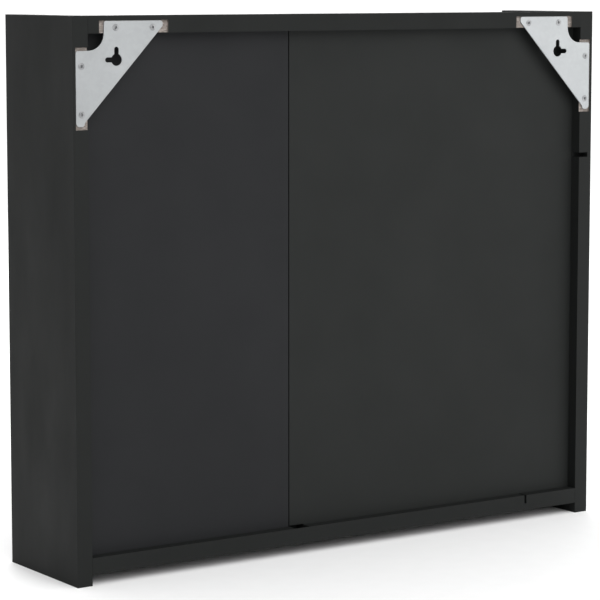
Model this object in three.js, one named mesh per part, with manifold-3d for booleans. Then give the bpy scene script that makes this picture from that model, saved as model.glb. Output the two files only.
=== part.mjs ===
// A wall-hung medicine cabinet: a mirror door over a wide shelved bay, and a narrow open bay beside it.
// Millimetres, +Z up, the front faces -Y. The origin is in the middle of the footprint at the lowest edge.
// "Left" and "right" are as seen from the front, so left is -X.

import * as THREE from 'three';
import { mergeVertices } from 'three/addons/utils/BufferGeometryUtils.js';
import Module from 'manifold-3d';

// ---------------------------------------------------------------------------------------------
// Driving dimensions
// ---------------------------------------------------------------------------------------------

const WIDTH = 700;
const DEPTH = 165;
const HEIGHT = 600;

const BOARD = 18; // carcass boards and the fixed shelves
const CARCASS_DEPTH = 148; // wall plane to the front edges of the boards
const END_RECESS = 12; // the top and bottom boards sit this far inside the ends of the side panels
const NARROW_BAY = 250; // clear width of the open bay
const FIT_GAP = 0.3; // clearance round everything that sits in a bore, groove or pocket
const BORE_RUNOUT = 0.5; // a bore goes this much deeper than what stands in it
const PAST = 1; // a cutting shape runs this far past the face that it opens
const ROUND = { pin: 10, screw: 12, cam: 16, keyhole: 24, cup: 32 }; // sides of round shapes

const RAIL_HEIGHT = 18.5;
const RAIL_DEPTH = 14;
const BACK_PANEL = 3;
const BACK_SEAM = 1.2; // gap between the two back panels, over the middle of the divider
const GROOVE_DEPTH = 6;

const LOOSE_SHELF = 16; // thickness of the two adjustable shelves
const LOOSE_SHELF_DEPTH = 115;
const SHELF_UNDERSIDES = { lower: 198, upper: 384 };
const PIN_ROWS = [-30, 45]; // y of the two columns of shelf-pin holes
const PIN_RADIUS = 2.5;
const PIN_HOLE_STEP = 32;

const DOOR_GAP = 2; // between the carcass and the back of the door
const DOOR_BOARD = 12;
const DOOR_REVEAL = 3; // the door stops this far short of the ends of the side panels
const DOOR_EDGE_INSET = 1; // the door's outer edge inside the cabinet's outer face
const DIVIDER_SHOWN = 2; // strip of the divider's front edge that the door leaves uncovered
const MIRROR_INSET = 1;

const HINGE_HEIGHTS = { lower: 93, upper: 507 };
const OPEN_ANGLE = THREE.MathUtils.degToRad(95);

const BRACKET_THICKNESS = 1.5;
const POCKET_DEPTH = 2;
const BRACKET_SCREWS = [[51.4, 587.4], [96.2, 587.4], [10.3, 547.8], [10.3, 497.8]];
const KEYHOLE = { inset: 52.3, height: 554, radius: 6.3, slotWidth: 5.2, reach: 10.9 };

const CAM_RADIUS = 7.4;
const CAM_THICKNESS = 12.5;
const CAM_INSET = 34; // cam centre to the end of its board
const CAM_ROWS = [-40, 45];

// ---------------------------------------------------------------------------------------------
// Places worked out from them
// ---------------------------------------------------------------------------------------------

const OUTER = WIDTH / 2;
const INNER = OUTER - BOARD;
const REAR = DEPTH / 2;
const FRONT = REAR - CARCASS_DEPTH;
const BACK_REAR = REAR - RAIL_DEPTH;
const BACK_FRONT = BACK_REAR - BACK_PANEL;
const FLOOR_TOP = END_RECESS + BOARD;
const CEILING = HEIGHT - END_RECESS - BOARD;
const TOP_FACE = CEILING + BOARD;
const DIVIDER_RIGHT = INNER - NARROW_BAY;
const DIVIDER_LEFT = DIVIDER_RIGHT - BOARD;
const DIVIDER_MIDDLE = DIVIDER_LEFT + BOARD / 2;
const RAIL_UNDER = HEIGHT - RAIL_HEIGHT;
const POCKET_FLOOR = REAR - POCKET_DEPTH;
const BRACKET_REAR = POCKET_FLOOR + BRACKET_THICKNESS;
const DOOR_REAR = FRONT - DOOR_GAP;
const DOOR_FRONT = DOOR_REAR - DOOR_BOARD;
const DOOR_LEFT = -OUTER + DOOR_EDGE_INSET;
const DOOR_RIGHT = DIVIDER_RIGHT - DIVIDER_SHOWN;

// Hinge pieces are laid out in (a, b): a from the cabinet's outer left face inwards, b from the
// front edges of the carcass outwards.
const hingeX = (a) => a - OUTER;
const hingeY = (b) => FRONT - b;
const DOOR_AXIS = { a: 6, b: 9 };
const ARM_PIVOT = { a: 23, b: 6.5 };
const CUP_CENTRE = 20.8;
const CUP = { rim: 18.2, outer: 17.2, lip: 17, inner: 16.6, bore: 17.5, mouth: 1, floor: 12, wall: 0.8 };
const CUP_PIN_REACH = 5.4; // door axis to the pin in the cup

// The pin in the cup starts half the opening angle before the line from the door axis to the arm
// pivot and ends as far past it, so the slotted link turns by a constant share of the door's angle.
const armBearing = Math.atan2(ARM_PIVOT.b - DOOR_AXIS.b, ARM_PIVOT.a - DOOR_AXIS.a);
const CUP_PIN = {
  a: DOOR_AXIS.a + CUP_PIN_REACH * Math.cos(armBearing - OPEN_ANGLE / 2),
  b: DOOR_AXIS.b + CUP_PIN_REACH * Math.sin(armBearing - OPEN_ANGLE / 2),
};

// ---------------------------------------------------------------------------------------------
// Materials
// ---------------------------------------------------------------------------------------------

const FINISHES = {
  laminate: { color: 0x323333, roughness: 0.62, metalness: 0 },
  backing: { color: 0x2f3030, roughness: 0.7, metalness: 0 },
  mirror: { color: 0xe6ecee, roughness: 0.03, metalness: 1 },
  bracket: { color: 0xc6c9c9, roughness: 0.42, metalness: 0.85 },
  nickel: { color: 0xb9bab8, roughness: 0.28, metalness: 1 },
  screw: { color: 0xa9abab, roughness: 0.35, metalness: 1 },
  zinc: { color: 0x9c9fa0, roughness: 0.5, metalness: 0.9 },
  plastic: { color: 0x2a2a2b, roughness: 0.5, metalness: 0 },
  magnet: { color: 0x5b5c5e, roughness: 0.6, metalness: 0.4 },
  silicone: { color: 0xd5d8d8, roughness: 0.35, metalness: 0 },
};

const cabinet = new THREE.Group();
cabinet.name = 'medicine_cabinet';

function add(name, geometry, finish) {
  const mesh = new THREE.Mesh(geometry, new THREE.MeshStandardMaterial(FINISHES[finish]));
  mesh.name = name;
  cabinet.add(mesh);
}

// ---------------------------------------------------------------------------------------------
// Solids
// ---------------------------------------------------------------------------------------------

const wasm = await Module();
wasm.setup();

function toSolid(geometry) {
  const bare = geometry.clone();
  bare.deleteAttribute('normal');
  bare.deleteAttribute('uv');
  const merged = mergeVertices(bare);
  return new wasm.Manifold(new wasm.Mesh({
    numProp: 3,
    vertProperties: Float32Array.from(merged.attributes.position.array),
    triVerts: Uint32Array.from(merged.index.array),
  }));
}

function toGeometry(solid) {
  const mesh = solid.getMesh();
  const geometry = new THREE.BufferGeometry();
  geometry.setAttribute('position', new THREE.BufferAttribute(mesh.vertProperties, 3));
  geometry.setIndex(new THREE.BufferAttribute(mesh.triVerts, 1));
  geometry.computeVertexNormals();
  return geometry;
}

// One blank with every tool cut away from it.
function cut(blank, tools) {
  return toGeometry(tools.reduce((solid, tool) => solid.subtract(toSolid(tool)), toSolid(blank)));
}

// Several overlapping shapes fused into one.
function join(shapes) {
  return toGeometry(shapes.map(toSolid).reduce((whole, shape) => whole.add(shape)));
}

function block([x0, x1], [y0, y1], [z0, z1]) {
  const geometry = new THREE.BoxGeometry(x1 - x0, y1 - y0, z1 - z0);
  return geometry.translate((x0 + x1) / 2, (y0 + y1) / 2, (z0 + z1) / 2);
}

// A rod from `from` to `to` along one axis, at the two other coordinates in their usual order.
function rod(axis, radius, [from, to], [first, second], sides = ROUND.pin) {
  const middle = (from + to) / 2;
  const geometry = new THREE.CylinderGeometry(radius, radius, Math.abs(to - from), sides);
  if (axis === 'x') {
    return geometry.rotateZ(Math.PI / 2).translate(middle, first, second);
  }
  if (axis === 'y') {
    return geometry.translate(first, middle, second);
  }
  return geometry.rotateX(Math.PI / 2).translate(first, second, middle);
}

// An outline of [x, y, corner radius] points.
function roundedShape(corners) {
  const shape = new THREE.Shape();
  corners.forEach(([x, y, radius], index) => {
    const corner = new THREE.Vector2(x, y);
    const [before, after] = [corners.at(index - 1), corners[(index + 1) % corners.length]]
      .map((next) => new THREE.Vector2(next[0] - x, next[1] - y).setLength(radius).add(corner));
    if (index === 0) {
      shape.moveTo(before.x, before.y);
    } else {
      shape.lineTo(before.x, before.y);
    }
    if (radius > 0) {
      shape.quadraticCurveTo(x, y, after.x, after.y);
    }
  });
  shape.closePath();
  return shape;
}

function roundedRectangle([x0, x1], [y0, y1], radius) {
  return roundedShape([[x0, y0, radius], [x1, y0, radius], [x1, y1, radius], [x0, y1, radius]]);
}

// A plate whose outline lies in X and Y, between two heights.
function plateAlongZ(shape, [z0, z1], curveSegments = 4) {
  const geometry = new THREE.ExtrudeGeometry(shape, { depth: z1 - z0, bevelEnabled: false, curveSegments });
  return geometry.translate(0, 0, z0);
}

// A plate whose outline lies in X and Z, between two depths.
function plateAlongY(shape, [y0, y1], curveSegments = 4) {
  const geometry = new THREE.ExtrudeGeometry(shape, { depth: y1 - y0, bevelEnabled: false, curveSegments });
  return geometry.rotateX(Math.PI / 2).translate(0, y1, 0);
}

// A plate whose outline lies in Y and Z, between two sideways places.
function plateAlongX(shape, [x0, x1], curveSegments = 4) {
  const geometry = new THREE.ExtrudeGeometry(shape, { depth: x1 - x0, bevelEnabled: false, curveSegments });
  return geometry.rotateX(Math.PI / 2).rotateZ(Math.PI / 2).translate(x0, 0, 0);
}

// A screw whose head stands on the plane y = 0 and whose shank goes down from it.
function screw({ head, crown, rise, shank, length }) {
  const profile = [[0, -length], [shank, -length], [shank, 0], [head, 0], [crown, rise], [0, rise]];
  return new THREE.LatheGeometry(profile.map(([r, y]) => new THREE.Vector2(r, y)), ROUND.screw);
}

// A countersunk screw whose flat head lies in the plane y = 0.
function countersunk({ head, sink, shank, length }) {
  const profile = [[0, -length], [shank, -length], [shank, -sink], [head, 0], [0, 0]];
  return new THREE.LatheGeometry(profile.map(([r, y]) => new THREE.Vector2(r, y)), ROUND.screw);
}

// ---------------------------------------------------------------------------------------------
// Fastener places shared by the pieces they join
// ---------------------------------------------------------------------------------------------

const BRACKET_SCREW = { head: 3.7, crown: 3, rise: 0.5, shank: 1.8, length: 10 };
const HINGE_SCREW_HOLE = 2.1;
const STRIKE_SCREW = { head: 2.6, sink: 0.9, shank: 1.2, length: 8 };

const SIDES = { left: -1, right: 1 };
const PIN_DEPTH = 10;
const PLATE_SCREW_PLACE = { b: -37, rise: 16 };
const CUP_SCREW_PLACE = { a: CUP_CENTRE + 6, rise: 24 };
const CATCH = { z: 300, height: 34, depth: 17, setBack: 0.4, reach: 14 };
const CATCH_SCREW_RISES = [-12, 12];
const CATCH_SCREW_Y = FRONT + 12;
const STRIKE_X = DIVIDER_LEFT - 7.5;

const pinHeights = Object.values(SHELF_UNDERSIDES).map((under) => under - PIN_RADIUS - FIT_GAP);
const pinHoleHeights = pinHeights.flatMap((z) => [z - PIN_HOLE_STEP, z, z + PIN_HOLE_STEP]);

function pinHoles(face, inwards) {
  return pinHoleHeights.flatMap((z) => PIN_ROWS.map((y) =>
    rod('x', PIN_RADIUS + FIT_GAP, [face - inwards, face + inwards * (PIN_DEPTH + BORE_RUNOUT)], [y, z])));
}

// ---------------------------------------------------------------------------------------------
// Hanging brackets, at `inset` from the outer face of their side panel
// ---------------------------------------------------------------------------------------------

const BRACKET = {
  edge: 3.6,
  sideTop: 563.6,
  top: 594.5,
  tabStart: 37.6,
  tabEnd: 108.5,
  bottom: 485.2,
  foot: 12.8,
};
const BRACKET_SLOPE_TOP = [108.5, 588.6];
const BRACKET_SLOPE_LOW = [14.4, 489.6];
const RAIL_POCKET = { from: 31.4, to: 115, top: 594.9 };
const SIDE_POCKET = { from: 3.2, low: 482, high: 567.2 };
const SCALLOP = { radius: 17.6, offset: 1.6, steps: 6 };

function bracketOutline(side) {
  const scallop = [];
  for (let step = 0; step <= SCALLOP.steps; step += 1) {
    const angle = (step / SCALLOP.steps) * (Math.PI / 2);
    scallop.push([
      BOARD + SCALLOP.offset + SCALLOP.radius * Math.sin(angle),
      RAIL_UNDER - SCALLOP.radius * Math.cos(angle),
      0,
    ]);
  }
  const corners = [
    [BRACKET.edge, BRACKET.sideTop, 3],
    ...scallop,
    [BRACKET.tabStart, BRACKET.top, 3],
    [BRACKET.tabEnd, BRACKET.top, 3.4],
    [...BRACKET_SLOPE_TOP, 2],
    [...BRACKET_SLOPE_LOW, 1.2],
    [BRACKET.foot, BRACKET.bottom, 3],
    [BRACKET.edge, BRACKET.bottom, 5],
  ];
  return roundedShape(corners.map(([inset, z, radius]) => [side * (OUTER - inset), z, radius]));
}

function keyhole(side) {
  const x = side * (OUTER - KEYHOLE.inset);
  const through = [POCKET_FLOOR - PAST, REAR + PAST];
  const half = KEYHOLE.slotWidth / 2;
  const endX = x + side * KEYHOLE.reach;
  return [
    rod('y', KEYHOLE.radius, through, [x, KEYHOLE.height], ROUND.keyhole),
    rod('y', half, through, [x, KEYHOLE.height + KEYHOLE.reach], ROUND.screw),
    rod('y', half, through, [endX, KEYHOLE.height], ROUND.screw),
    block([x - half, x + half], through, [KEYHOLE.height, KEYHOLE.height + KEYHOLE.reach]),
    block([Math.min(x, endX), Math.max(x, endX)], through, [KEYHOLE.height - half, KEYHOLE.height + half]),
  ];
}

// Clearance round the shanks of one bracket's screws: the first two go into the rail, the others
// into the side panel.
function bracketScrewBores(side) {
  const depth = [BRACKET_REAR - BRACKET_SCREW.length - BORE_RUNOUT, REAR + PAST];
  return BRACKET_SCREWS.map(([inset, z]) =>
    rod('y', BRACKET_SCREW.shank + FIT_GAP, depth, [side * (OUTER - inset), z], ROUND.screw));
}

for (const [name, side] of Object.entries(SIDES)) {
  const plate = plateAlongY(bracketOutline(side), [POCKET_FLOOR, BRACKET_REAR]);
  add(`hanging_bracket_${name}`, cut(plate, [...keyhole(side), ...bracketScrewBores(side)]), 'bracket');
  BRACKET_SCREWS.forEach(([inset, z], index) => {
    add(`bracket_screw_${name}_${index + 1}`,
      screw(BRACKET_SCREW).translate(side * (OUTER - inset), BRACKET_REAR, z), 'screw');
  });
}

// ---------------------------------------------------------------------------------------------
// Carcass boards
// ---------------------------------------------------------------------------------------------

const CABLE_SLOT = { z: 431, height: 5.4, reach: 12.8, depth: 12.5 }; // in the left side's rear edge
const FLOOR_SLIT = { x: -255.6, width: 2.8, drop: 10 }; // in the rear edge of the bottom board
const LEAD_WAY = { width: 19, drop: 8, forward: 10, lip: 1.2, rise: 0.6 }; // under the back panels' seam
const SEAM_LEFT = DIVIDER_MIDDLE - BACK_SEAM / 2;
const SEAM_RIGHT = DIVIDER_MIDDLE + BACK_SEAM / 2;

function sidePanel(side) {
  const span = [side * OUTER, side * INNER].sort((a, b) => a - b);
  const pocketEdges = [side * (OUTER - SIDE_POCKET.from), side * (INNER - PAST)].sort((a, b) => a - b);
  const grooveEdges = [side * (INNER - PAST), side * (INNER + GROOVE_DEPTH)].sort((a, b) => a - b);
  const grooveY = [BACK_FRONT - FIT_GAP, BACK_REAR + FIT_GAP];
  const tools = [
    block(pocketEdges, [POCKET_FLOOR, REAR + PAST], [SIDE_POCKET.low, SIDE_POCKET.high]),
    block(grooveEdges, grooveY, [FLOOR_TOP - GROOVE_DEPTH, TOP_FACE]),
    ...bracketScrewBores(side).slice(2),
  ];
  if (side < 0) {
    tools.push(
      ...pinHoles(-INNER, -1),
      block([-INNER - CABLE_SLOT.reach, -INNER + PAST], [REAR - CABLE_SLOT.depth, REAR + PAST],
        [CABLE_SLOT.z - CABLE_SLOT.height / 2, CABLE_SLOT.z + CABLE_SLOT.height / 2]),
    );
  }
  return cut(block(span, [FRONT, REAR], [0, HEIGHT]), tools);
}

function camPockets(z) {
  return Object.values(SIDES).flatMap((side) => CAM_ROWS.map((y) =>
    rod('z', CAM_RADIUS + FIT_GAP, z, [side * (INNER - CAM_INSET), y], ROUND.cam)));
}

function bottomBoard() {
  return cut(block([-INNER, INNER], [FRONT, REAR], [END_RECESS, FLOOR_TOP]), [
    block([-INNER - PAST, INNER + PAST], [BACK_FRONT - FIT_GAP, BACK_REAR + FIT_GAP],
      [FLOOR_TOP - GROOVE_DEPTH, FLOOR_TOP + PAST]),
    block([FLOOR_SLIT.x - FLOOR_SLIT.width / 2, FLOOR_SLIT.x + FLOOR_SLIT.width / 2],
      [BACK_REAR - PAST, REAR + PAST], [FLOOR_TOP - FLOOR_SLIT.drop, FLOOR_TOP + PAST]),
    block([SEAM_LEFT - LEAD_WAY.width, SEAM_LEFT], [BACK_FRONT - LEAD_WAY.forward, REAR - LEAD_WAY.lip],
      [FLOOR_TOP - LEAD_WAY.drop, FLOOR_TOP + PAST]),
    ...camPockets([END_RECESS - PAST, END_RECESS + CAM_THICKNESS + FIT_GAP]),
  ]);
}

function topBoard() {
  return cut(block([-INNER, INNER], [FRONT, BACK_FRONT], [CEILING, TOP_FACE]),
    camPockets([TOP_FACE - CAM_THICKNESS - FIT_GAP, TOP_FACE + PAST]));
}

function divider() {
  return cut(block([DIVIDER_LEFT, DIVIDER_RIGHT], [FRONT, BACK_FRONT], [FLOOR_TOP, CEILING]),
    pinHoles(DIVIDER_LEFT, 1));
}

function rearRail() {
  const tools = Object.values(SIDES).flatMap((side) => [
    block([side * (OUTER - RAIL_POCKET.from), side * (OUTER - RAIL_POCKET.to)].sort((a, b) => a - b),
      [POCKET_FLOOR, REAR + PAST], [RAIL_UNDER - PAST, RAIL_POCKET.top]),
    ...bracketScrewBores(side).slice(0, 2),
  ]);
  return cut(block([-INNER, INNER], [BACK_REAR, REAR], [RAIL_UNDER, HEIGHT]), tools);
}

add('side_panel_left', sidePanel(-1), 'laminate');
add('side_panel_right', sidePanel(1), 'laminate');
add('bottom_board', bottomBoard(), 'laminate');
add('top_board', topBoard(), 'laminate');
add('divider_panel', divider(), 'laminate');
add('rear_rail', rearRail(), 'laminate');

// Back panels: their edges stand in the grooves, and they meet behind the divider.
const PANEL_EDGE = INNER + GROOVE_DEPTH - FIT_GAP;
const PANEL_Z = [FLOOR_TOP - GROOVE_DEPTH + FIT_GAP, TOP_FACE];
const PANEL_Y = [BACK_FRONT, BACK_REAR];

add('back_panel_wide', cut(block([-PANEL_EDGE, SEAM_LEFT], PANEL_Y, PANEL_Z), [
  block([SEAM_LEFT - LEAD_WAY.width, SEAM_LEFT + PAST], [BACK_FRONT - PAST, BACK_REAR + PAST],
    [FLOOR_TOP - GROOVE_DEPTH - PAST, FLOOR_TOP + LEAD_WAY.rise]),
]), 'backing');
add('back_panel_narrow', block([SEAM_RIGHT, PANEL_EDGE], PANEL_Y, PANEL_Z), 'backing');

// ---------------------------------------------------------------------------------------------
// Shelves
// ---------------------------------------------------------------------------------------------

const SHELF_END_GAP = 0.5;

for (const [name, under] of Object.entries(SHELF_UNDERSIDES)) {
  const looseX = [-INNER + SHELF_END_GAP, DIVIDER_LEFT - SHELF_END_GAP];
  add(`shelf_wide_${name}`, block(looseX, [BACK_FRONT - LOOSE_SHELF_DEPTH, BACK_FRONT - SHELF_END_GAP],
    [under, under + LOOSE_SHELF]), 'laminate');

  add(`shelf_narrow_${name}`, block([DIVIDER_RIGHT, INNER], [FRONT, BACK_FRONT], [under, under + BOARD]),
    'laminate');

  shelfPins(under).forEach((pin, index) => add(`shelf_pin_${name}_${index + 1}`, pin, 'nickel'));
}

// Four spoon pins: a round shank in its hole and a flat tongue under the shelf.
function shelfPins(under) {
  const z = under - PIN_RADIUS - FIT_GAP;
  const tongue = { reach: 11, half: 5, thickness: 2 };
  const faces = [[-INNER, 1], [DIVIDER_LEFT, -1]];
  return faces.flatMap(([face, inwards]) => PIN_ROWS.map((y) => join([
    rod('x', PIN_RADIUS, [face - inwards * PIN_DEPTH, face + inwards * tongue.reach], [y, z]),
    block([face + inwards * FIT_GAP, face + inwards * tongue.reach].sort((a, b) => a - b),
      [y - tongue.half, y + tongue.half], [under - FIT_GAP - tongue.thickness, under - FIT_GAP]),
  ])));
}

// ---------------------------------------------------------------------------------------------
// Cam locks that pull the top and bottom boards against the side panels
// ---------------------------------------------------------------------------------------------

function addCamLocks(name, z) {
  const places = Object.values(SIDES).flatMap((side) =>
    CAM_ROWS.map((y) => [side * (INNER - CAM_INSET), y]));
  places.forEach((place, index) =>
    add(`cam_lock_${name}_${index + 1}`, rod('z', CAM_RADIUS, z, place, ROUND.cam), 'zinc'));
}

addCamLocks('top', [TOP_FACE - CAM_THICKNESS, TOP_FACE]);
addCamLocks('bottom', [END_RECESS, END_RECESS + CAM_THICKNESS]);

// ---------------------------------------------------------------------------------------------
// Door
// ---------------------------------------------------------------------------------------------

const STRIKE = { halfWidth: 9, halfHeight: 13, corner: 3, thickness: 1.2 };
const STRIKE_SINK = { head: 3.2, sink: 1.2, shank: 1.6, length: 4 }; // the hole round its screw

function doorPanel() {
  const cupDepth = [hingeY(CUP.floor + FIT_GAP), DOOR_REAR + PAST];
  const tools = Object.values(HINGE_HEIGHTS).map((z) =>
    rod('y', CUP.bore, cupDepth, [hingeX(CUP_CENTRE), z], ROUND.cup));
  tools.push(rod('y', STRIKE_SCREW.shank + FIT_GAP, [DOOR_REAR - STRIKE_SCREW.length, DOOR_REAR + PAST],
    [STRIKE_X, CATCH.z], ROUND.screw));
  return cut(block([DOOR_LEFT, DOOR_RIGHT], [DOOR_FRONT, DOOR_REAR], [DOOR_REVEAL, HEIGHT - DOOR_REVEAL]),
    tools);
}

add('door_panel', doorPanel(), 'laminate');
add('mirror', block([DOOR_LEFT + MIRROR_INSET, DOOR_RIGHT - MIRROR_INSET], [-REAR, DOOR_FRONT],
  [DOOR_REVEAL + MIRROR_INSET, HEIGHT - DOOR_REVEAL - MIRROR_INSET]), 'mirror');

const strikeFace = DOOR_REAR + STRIKE.thickness;
const strikeOutline = roundedRectangle(
  [STRIKE_X - STRIKE.halfWidth, STRIKE_X + STRIKE.halfWidth],
  [CATCH.z - STRIKE.halfHeight, CATCH.z + STRIKE.halfHeight], STRIKE.corner);

add('strike_plate', cut(plateAlongY(strikeOutline, [DOOR_REAR, strikeFace]),
  [countersunk(STRIKE_SINK).translate(STRIKE_X, strikeFace, CATCH.z)]), 'nickel');
add('strike_screw', countersunk(STRIKE_SCREW).translate(STRIKE_X, strikeFace, CATCH.z), 'screw');

const BUMPER = { radius: 4, thickness: DOOR_GAP - FIT_GAP, heights: { lower: 22, upper: 578 } };
for (const [name, z] of Object.entries(BUMPER.heights)) {
  add(`door_bumper_${name}`, rod('y', BUMPER.radius, [DOOR_REAR, DOOR_REAR + BUMPER.thickness],
    [DIVIDER_MIDDLE, z], ROUND.cam), 'silicone');
}

// ---------------------------------------------------------------------------------------------
// Magnetic catch on the divider
// ---------------------------------------------------------------------------------------------

const MAGNET = { halfWidth: 4, halfHeight: 8, depth: 12, proud: 0.4, offCentre: 0.5 };
const CATCH_SCREW_BORE = { radius: 3.3, floor: 2.5 }; // leaves this much plastic under the screw's head
const catchX = [DIVIDER_LEFT - CATCH.reach, DIVIDER_LEFT];
const catchY = [FRONT + CATCH.setBack, FRONT + CATCH.depth];
const catchZ = [CATCH.z - CATCH.height / 2, CATCH.z + CATCH.height / 2];
const magnetX = DIVIDER_LEFT - CATCH.reach / 2 - MAGNET.offCentre;

function magnetBlock(gap, [y0, y1]) {
  return block([magnetX - MAGNET.halfWidth - gap, magnetX + MAGNET.halfWidth + gap], [y0, y1],
    [CATCH.z - MAGNET.halfHeight - gap, CATCH.z + MAGNET.halfHeight + gap]);
}

const catchScrewBoreX = [catchX[0] - PAST, catchX[1] - CATCH_SCREW_BORE.floor];

add('catch_housing', cut(block(catchX, catchY, catchZ), [
  magnetBlock(FIT_GAP, [FRONT - PAST, FRONT + MAGNET.depth + BORE_RUNOUT]),
  ...CATCH_SCREW_RISES.map((rise) =>
    rod('x', CATCH_SCREW_BORE.radius, catchScrewBoreX, [CATCH_SCREW_Y, CATCH.z + rise], ROUND.screw)),
]), 'plastic');
add('catch_magnet', magnetBlock(0, [FRONT - MAGNET.proud, FRONT + MAGNET.depth]), 'magnet');

// ---------------------------------------------------------------------------------------------
// Concealed cup hinges
// ---------------------------------------------------------------------------------------------

const ARM = { half: 6.2, cheekInside: 4.2, webInside: 26.5, webOutside: 28.5, webEnd: 1.5, rear: -50 };
const PIVOT_PIN = 1.2;
const CUP_PIN_RADIUS = 1.1;
const SIDEWAYS_PLAY = 0.55; // the cup pin's path wanders this much off the middle of the link's slot
const LINK = { half: 3, bar: 1.3, eye: 2.8, fork: 2.35, slot: CUP_PIN_RADIUS + SIDEWAYS_PLAY, tip: 0.7 };
const HINGE_BOSS = { b: [-46, -14], clear: 0.8, gap: 0.5 }; // the block of the base that fills the arm

function hingeShape(corners) {
  return roundedShape(corners.map(([a, b, radius]) => [hingeX(a), hingeY(b), radius]));
}

function hingeCup(z) {
  const x = hingeX(CUP_CENTRE);
  const wing = { half: 8, rise: 30, corner: 6 };
  const wingX = hingeX(CUP_SCREW_PLACE.a);
  const mouth = hingeY(CUP.mouth);
  const wings = roundedRectangle(
    [wingX - wing.half, wingX + wing.half], [z - wing.rise, z + wing.rise], wing.corner);
  const flange = plateAlongY(wings, [DOOR_REAR, mouth]);
  const rim = rod('y', CUP.rim, [DOOR_REAR, mouth], [x, z], ROUND.cup);
  const bowl = rod('y', CUP.outer, [hingeY(CUP.floor), mouth], [x, z], ROUND.cup);
  return cut(join([flange, rim, bowl]), [
    rod('y', CUP.inner, [hingeY(CUP.floor - CUP.wall), mouth + PAST], [x, z], ROUND.cup),
    rod('y', CUP.lip, [DOOR_REAR, mouth + PAST], [x, z], ROUND.cup),
    ...[-1, 1].map((way) => rod('y', HINGE_SCREW_HOLE, [DOOR_REAR - PAST, mouth + PAST],
      [wingX, z + way * CUP_SCREW_PLACE.rise], ROUND.screw)),
  ]);
}

// A U-shaped arm, open towards the side panel, whose two cheeks hold the link's pivot pin.
function hingeArm(z) {
  const outline = hingeShape([
    [21.2, ARM.rear, 1],
    [ARM.webOutside, ARM.rear, 2],
    [ARM.webOutside, 0, 3],
    [26.3, 6, 2],
    [25.4, 9.5, 2.4],
    [20.6, 9.5, 2.4],
    [19.8, 3, 2],
    [21.2, -4, 2],
  ]);
  const betweenCheeks = [z - ARM.cheekInside, z + ARM.cheekInside];
  return cut(plateAlongZ(outline, [z - ARM.half, z + ARM.half]), [
    block([hingeX(0), hingeX(ARM.webInside)], [DOOR_FRONT, hingeY(ARM.rear) + PAST], betweenCheeks),
    block([hingeX(0), hingeX(ARM.webOutside) + PAST], [DOOR_FRONT, hingeY(ARM.webEnd)], betweenCheeks),
    rod('z', PIVOT_PIN + FIT_GAP, [z - ARM.half - PAST, z + ARM.half + PAST],
      [hingeX(ARM_PIVOT.a), hingeY(ARM_PIVOT.b)]),
  ]);
}

// The base that is screwed to the side panel: a winged plate with a block that fills the arm.
function hingePlate(z) {
  const wings = { b: [-44, -30], rise: 23, corner: 6 };
  const strip = { b: [-53, -9], rise: 9.5, corner: 3 };
  const face = -INNER + 2.5;
  const plates = [wings, strip].map(({ b, rise, corner }) => plateAlongX(
    roundedRectangle([hingeY(b[1]), hingeY(b[0])], [z - rise, z + rise], corner), [-INNER, face]));
  const halfBoss = ARM.cheekInside - HINGE_BOSS.gap;
  const boss = block([-INNER, hingeX(ARM.webInside - HINGE_BOSS.clear)],
    [hingeY(HINGE_BOSS.b[1]), hingeY(HINGE_BOSS.b[0])], [z - halfBoss, z + halfBoss]);
  return cut(join([...plates, boss]), [-1, 1].map((way) =>
    rod('x', HINGE_SCREW_HOLE, [-INNER - PAST, face + PAST],
      [hingeY(PLATE_SCREW_PLACE.b), z + way * PLATE_SCREW_PLACE.rise], ROUND.screw)));
}

// The link turns on the arm's pin, and the pin in the cup slides in the slot at its other end.
function hingeLink(z) {
  const reach = Math.hypot(CUP_PIN.a - ARM_PIVOT.a, CUP_PIN.b - ARM_PIVOT.b);
  const near = Math.hypot(ARM_PIVOT.a - DOOR_AXIS.a, ARM_PIVOT.b - DOOR_AXIS.b) - CUP_PIN_REACH;
  const slotFrom = near - LINK.slot;
  const tip = reach + LINK.slot + LINK.tip;
  const height = [z - LINK.half, z + LINK.half];
  const through = [z - LINK.half - PAST, z + LINK.half + PAST];
  const outline = roundedShape([
    [0, -LINK.bar, 0],
    [slotFrom - 2.5, -LINK.bar, 2],
    [slotFrom - 0.5, -LINK.fork, 1],
    [tip, -LINK.fork, 2.2],
    [tip, LINK.fork, 2.2],
    [slotFrom - 0.5, LINK.fork, 1],
    [slotFrom - 2.5, LINK.bar, 2],
    [0, LINK.bar, 0],
  ]);
  const link = cut(join([plateAlongZ(outline, height), rod('z', LINK.eye, height, [0, 0], ROUND.cam)]), [
    rod('z', PIVOT_PIN + FIT_GAP, through, [0, 0]),
    rod('z', LINK.slot, through, [near, 0]),
    rod('z', LINK.slot, through, [reach, 0]),
    block([near, reach], [-LINK.slot, LINK.slot], through),
  ]);
  const bearing = Math.atan2(hingeY(CUP_PIN.b) - hingeY(ARM_PIVOT.b), CUP_PIN.a - ARM_PIVOT.a);
  return link.rotateZ(bearing).translate(hingeX(ARM_PIVOT.a), hingeY(ARM_PIVOT.b), 0);
}

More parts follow.
